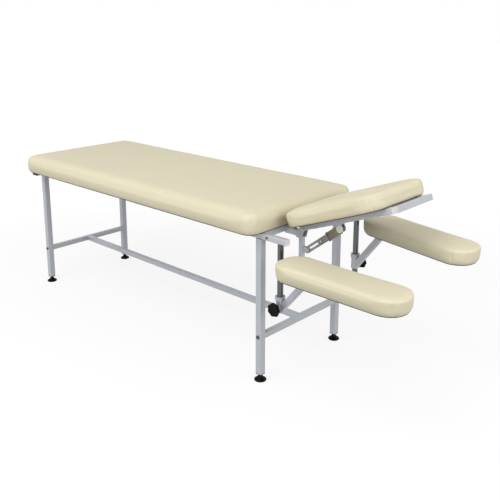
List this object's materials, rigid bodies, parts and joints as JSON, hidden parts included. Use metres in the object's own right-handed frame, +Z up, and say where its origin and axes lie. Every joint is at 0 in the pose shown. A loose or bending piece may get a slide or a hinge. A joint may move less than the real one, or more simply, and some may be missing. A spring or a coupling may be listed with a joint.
{
  "type": "massage couch",
  "caption": "Padded massage couch on a square-tube frame with levelling feet, a tilting headrest on a telescopic strut, and swinging, height-adjustable armrests.",
  "frame": {"origin": "middle of the outline, on the floor", "axes": "+X towards the head end, +Y towards the far side, +Z up"},
  "size_m": [2.4, 0.7574, 0.8844],
  "materials": {
    "cream_cover": "soft satin imitation leather",
    "board_wood": "stained plywood",
    "silver_paint": "silver-grey powder coat",
    "chrome": "polished",
    "black_plastic": "satin",
    "pale_plastic": "satin",
    "dark_steel": "dull plated",
    "bright_steel": "zinc plated"
  },
  "bodies": {
    "couch": {"main_cushion": "cream_cover", "main_board": "board_wood", "board_screws": "bright_steel", "side_rail_near": "silver_paint", "side_rail_far": "silver_paint", "foot_cross_rail": "silver_paint", "head_cross_rail": "silver_paint", "foot_rail_plugs": "black_plastic", "bracket_plugs": "pale_plastic", "bracket_screws": "dark_steel", "leg_foot_near": "silver_paint", "leg_foot_far": "silver_paint", "leg_head_near": "silver_paint", "leg_head_far": "silver_paint", "leg_plugs": "black_plastic", "foot_crossbar": "silver_paint", "head_crossbar": "silver_paint", "middle_rail": "silver_paint", "stretcher_bolts": "dark_steel", "crossbar_blocks": "bright_steel", "armrest_post_near": "chrome", "armrest_post_far": "chrome", "headrest_stub_near": "silver_paint", "headrest_stub_far": "silver_paint", "hinge_bracket_near": "silver_paint", "hinge_bracket_far": "silver_paint", "hinge_pins": "bright_steel", "strut_post": "silver_paint", "strut_lug": "silver_paint", "strut_lower_pin": "bright_steel"},
    "headrest": {"headrest_cushion": "cream_cover", "headrest_board": "board_wood", "headrest_rail_near": "silver_paint", "headrest_rail_far": "silver_paint", "headrest_cross_tube": "silver_paint", "cross_tube_plugs": "pale_plastic", "hinge_plugs": "pale_plastic", "headrest_screws": "bright_steel", "strut_upper_lug": "silver_paint", "strut_upper_pin": "pale_plastic"},
    "strut_plate_body": {"strut_plate": "dark_steel"},
    "strut_channel_body": {"strut_channel": "bright_steel"},
    "bush_near": {"armrest_bush_near": "silver_paint"},
    "armrest_near": {"armrest_sleeve_near": "silver_paint", "arm_near": "silver_paint", "arm_screws_near": "bright_steel", "armrest_board_near": "board_wood", "armrest_cushion_near": "cream_cover"},
    "knob_near": {"armrest_knob_near": "black_plastic"},
    "bush_far": {"armrest_bush_far": "silver_paint"},
    "armrest_far": {"armrest_sleeve_far": "silver_paint", "arm_far": "silver_paint", "arm_screws_far": "bright_steel", "armrest_board_far": "board_wood", "armrest_cushion_far": "cream_cover"},
    "knob_far": {"armrest_knob_far": "black_plastic"},
    "leveller_foot_near_body": {"leveller_foot_near": "black_plastic"},
    "leveller_foot_far_body": {"leveller_foot_far": "black_plastic"},
    "leveller_head_near_body": {"leveller_head_near": "black_plastic"},
    "leveller_head_far_body": {"leveller_head_far": "black_plastic"}
  },
  "joints": [
    {"name": "headrest_tilt", "type": "hinge", "parent": "couch", "child": "headrest", "pos_m": [0.594, 0.01325, 0.665], "axis": [0, -1, 0], "range_deg": [-20.5, 10]},
    {"name": "strut_plate_turn", "type": "hinge", "parent": "couch", "child": "strut_plate_body", "pos_m": [0.612, -0.10175, 0.572], "axis": [0, -1, 0], "range_deg": [-18, 9]},
    {"name": "strut_channel_turn", "type": "hinge", "parent": "headrest", "child": "strut_channel_body", "pos_m": [0.77849, -0.10175, 0.69981], "axis": [0, -1, 0], "range_deg": [-2.5, 4.5]},
    {"name": "armrest_height_near", "type": "slide", "parent": "couch", "child": "bush_near", "axis": [0, 0, 1], "range_m": [0, 0.15]},
    {"name": "armrest_height_far", "type": "slide", "parent": "couch", "child": "bush_far", "axis": [0, 0, 1], "range_m": [-0.045, 0.035]},
    {"name": "armrest_swing_near", "type": "hinge", "parent": "bush_near", "child": "armrest_near", "pos_m": [0.593, -0.24675, 0.361], "axis": [0, 0, -1], "range_deg": [-20, 60]},
    {"name": "armrest_swing_far", "type": "hinge", "parent": "bush_far", "child": "armrest_far", "pos_m": [0.593, 0.27325, 0.406], "axis": [0, 0, 1], "range_deg": [-15, 72]},
    {"name": "knob_turn_near", "type": "hinge", "parent": "armrest_near", "child": "knob_near", "pos_m": [0.593, -0.24675, 0.361], "axis": [0, -1, 0], "range_deg": [0, 540]},
    {"name": "knob_turn_far", "type": "hinge", "parent": "armrest_far", "child": "knob_far", "pos_m": [0.593, 0.27325, 0.406], "axis": [0.2079, 0.9781, 0], "range_deg": [0, 540]},
    {"name": "level_foot_near", "type": "slide", "parent": "couch", "child": "leveller_foot_near_body", "axis": [0, 0, -1], "range_m": [-0.0025, 0.015]},
    {"name": "level_foot_far", "type": "slide", "parent": "couch", "child": "leveller_foot_far_body", "axis": [0, 0, -1], "range_m": [-0.0025, 0.015]},
    {"name": "level_head_near", "type": "slide", "parent": "couch", "child": "leveller_head_near_body", "axis": [0, 0, -1], "range_m": [-0.0025, 0.015]},
    {"name": "level_head_far", "type": "slide", "parent": "couch", "child": "leveller_head_far_body", "axis": [0, 0, -1], "range_m": [-0.0025, 0.015]}
  ],
  "couplings": [
    {"joint": "strut_plate_turn", "follows": "headrest_tilt", "ratio": 0.825},
    {"joint": "strut_channel_turn", "follows": "headrest_tilt", "ratio": -0.175}
  ]
}
